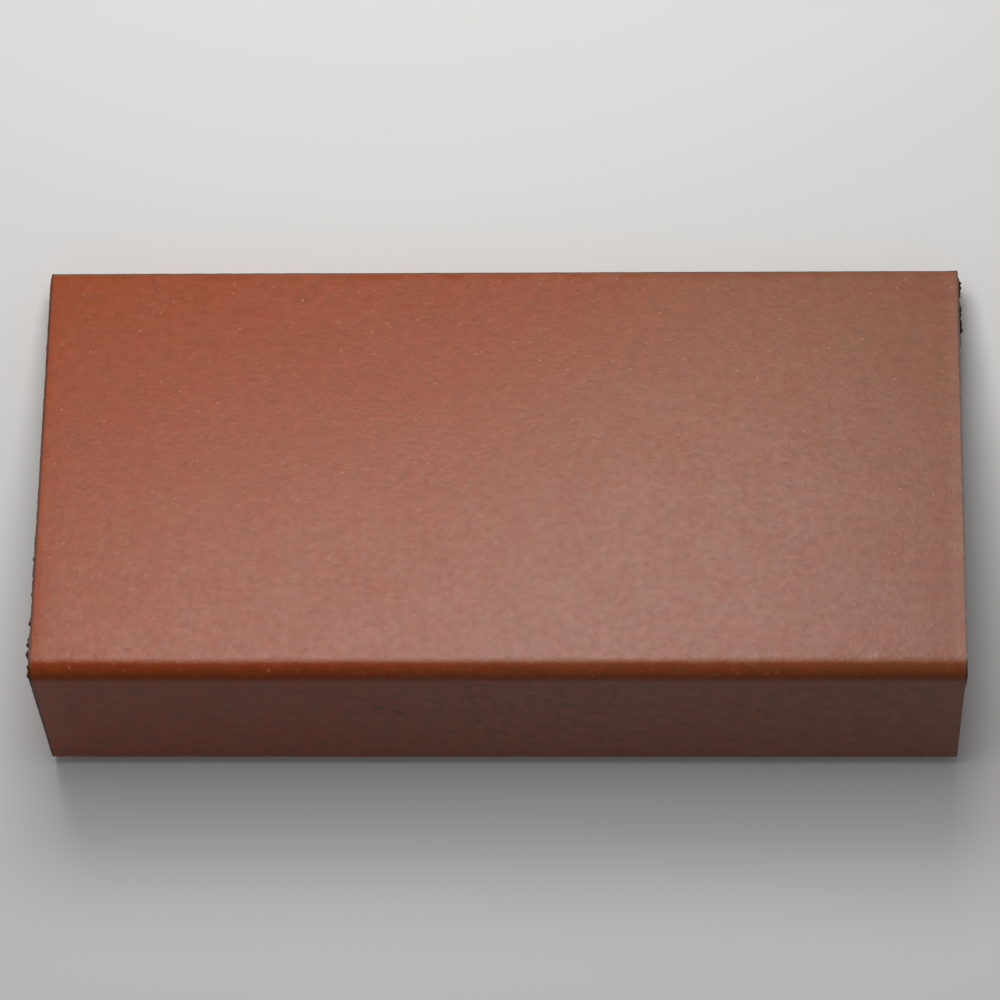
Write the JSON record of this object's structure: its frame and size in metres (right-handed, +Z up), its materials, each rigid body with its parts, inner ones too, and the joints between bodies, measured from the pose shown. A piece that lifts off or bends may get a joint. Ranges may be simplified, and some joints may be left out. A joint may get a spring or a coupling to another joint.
{
  "type": "clinker stair tread",
  "caption": "L-shaped fired clinker stair tread: a flat plate with a rounded nosing and a short leg over the riser, with dovetail grooves that key it into mortar.",
  "frame": {"origin": "middle of the part's box, on the floor that it lies on", "axes": "+X along the nosing, +Y from the leg towards the back edge, +Z up; the tread lies as it comes to rest, on the heel of the leg and the rear lower edge, so the plate slopes down to the back"},
  "size_m": [0.24, 0.1272, 0.0539],
  "materials": {
    "clinker": "unglazed red-brown clinker, smooth from the die on its faces, wire-cut on its two ends"
  },
  "bodies": {
    "root": {"stair_tread": "clinker"}
  },
  "joints": []
}
